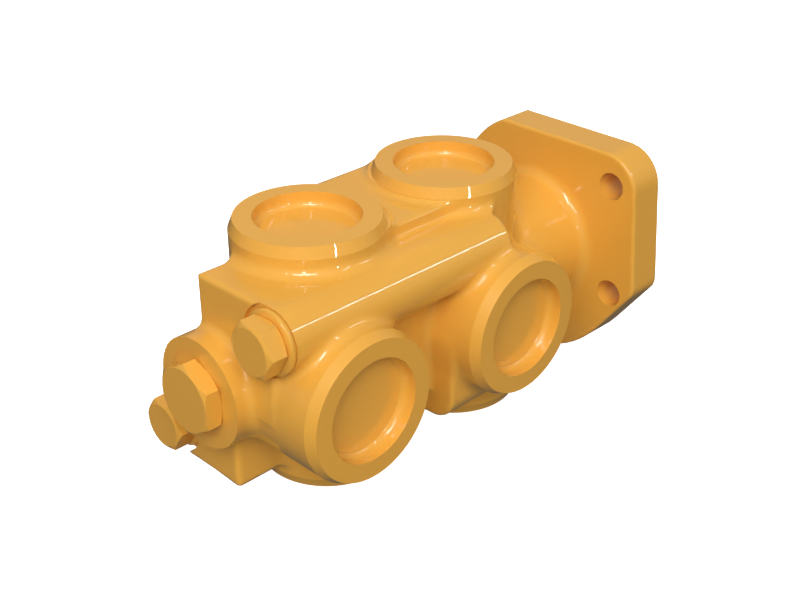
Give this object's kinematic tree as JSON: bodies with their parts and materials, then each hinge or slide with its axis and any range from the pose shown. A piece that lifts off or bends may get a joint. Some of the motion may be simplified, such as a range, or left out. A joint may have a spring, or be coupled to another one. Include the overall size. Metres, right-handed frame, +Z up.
{
  "type": "brake control valve",
  "caption": "Cast brake control valve with a flanged plunger end, round port bosses above, below and at one side, gallery ribs and hexagon plugs.",
  "frame": {"origin": "on the valve axis, in the plane of the flange's mounting face", "axes": "+X out of the mounting face along the valve axis, -Y towards the two side ports, +Z up"},
  "size_m": [0.187, 0.0971, 0.0957],
  "materials": {
    "body_paint": "glossy orange-yellow paint over cast iron",
    "plug_paint": "glossy orange-yellow paint over steel",
    "steel": "ground steel",
    "spring_steel": "oiled spring wire",
    "bronze": "machined bronze",
    "seal": "matt black rubber"
  },
  "bodies": {
    "valve": {"valve_body": "body_paint", "end_plug": "plug_paint", "end_plug_seal": "seal", "gallery_plug_upper": "plug_paint", "gallery_washer_upper": "plug_paint", "gallery_plug_lower": "plug_paint", "gallery_washer_lower": "plug_paint", "port_plug_top_near": "plug_paint", "port_seal_top_near": "seal", "port_plug_top_far": "plug_paint", "port_seal_top_far": "seal", "port_plug_bottom_near": "plug_paint", "port_seal_bottom_near": "seal", "port_plug_bottom_far": "plug_paint", "port_seal_bottom_far": "seal", "port_plug_side_near": "plug_paint", "port_seal_side_near": "seal", "port_plug_side_far": "plug_paint", "port_seal_side_far": "seal", "guide_bush": "bronze", "plunger_seal": "seal", "wiper_seal": "seal", "snap_ring": "spring_steel", "return_spring": "spring_steel"},
    "plunger": {"plunger": "steel"},
    "primary": {"spring_seat": "steel", "primary_spool": "steel", "regulating_spring_outer": "spring_steel", "regulating_spring_inner": "spring_steel", "middle_spring": "spring_steel"},
    "secondary": {"secondary_spool": "steel"}
  },
  "joints": [
    {"name": "plunger_slide", "type": "slide", "parent": "valve", "child": "plunger", "axis": [-1, 0, 0], "range_m": [0, 0.0125], "stiffness_N_per_m": 600, "springref_m": -0.003, "deforming": ["regulating_spring_outer", "regulating_spring_inner"]},
    {"name": "primary_spool_slide", "type": "slide", "parent": "valve", "child": "primary", "axis": [-1, 0, 0], "range_m": [0, 0.005]},
    {"name": "secondary_spool_slide", "type": "slide", "parent": "valve", "child": "secondary", "axis": [-1, 0, 0], "range_m": [0, 0.005], "deforming": ["return_spring"]}
  ],
  "couplings": [
    {"joint": "primary_spool_slide", "follows": "plunger_slide", "ratio": 0.4},
    {"joint": "secondary_spool_slide", "follows": "plunger_slide", "ratio": 0.4}
  ]
}
